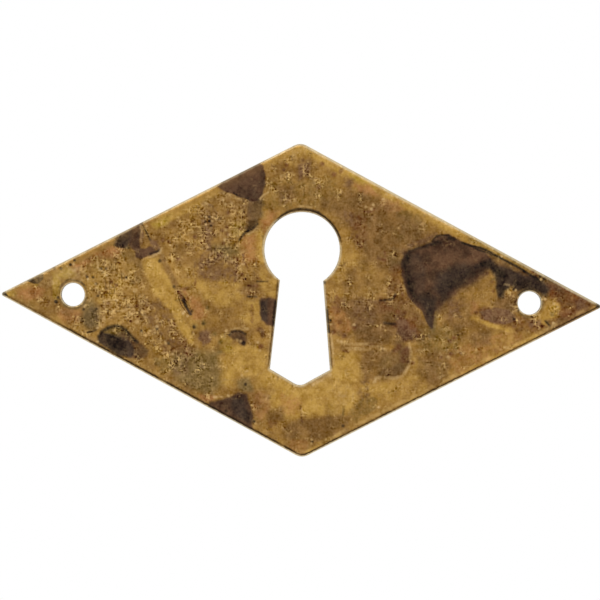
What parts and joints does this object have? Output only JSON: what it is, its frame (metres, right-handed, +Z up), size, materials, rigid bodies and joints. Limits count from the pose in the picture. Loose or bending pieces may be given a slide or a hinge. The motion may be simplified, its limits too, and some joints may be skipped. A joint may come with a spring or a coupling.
{
  "type": "keyhole escutcheon",
  "caption": "Flat diamond-shaped brass keyhole escutcheon with a round-topped keyhole and a pin hole near each side point.",
  "frame": {"origin": "middle of the line between the two pin holes, on the plate's back face", "axes": "+X along the plate's long diagonal, to the right as seen from the front; +Z up, towards the keyhole's round end; the front faces -Y and the back lies on y = 0"},
  "size_m": [0.063, 0.001, 0.0329],
  "materials": {
    "aged_brass": "aged, tarnished and stained, with worn gold-coloured patches"
  },
  "bodies": {
    "root": {"escutcheon_plate": "aged_brass"}
  },
  "joints": []
}
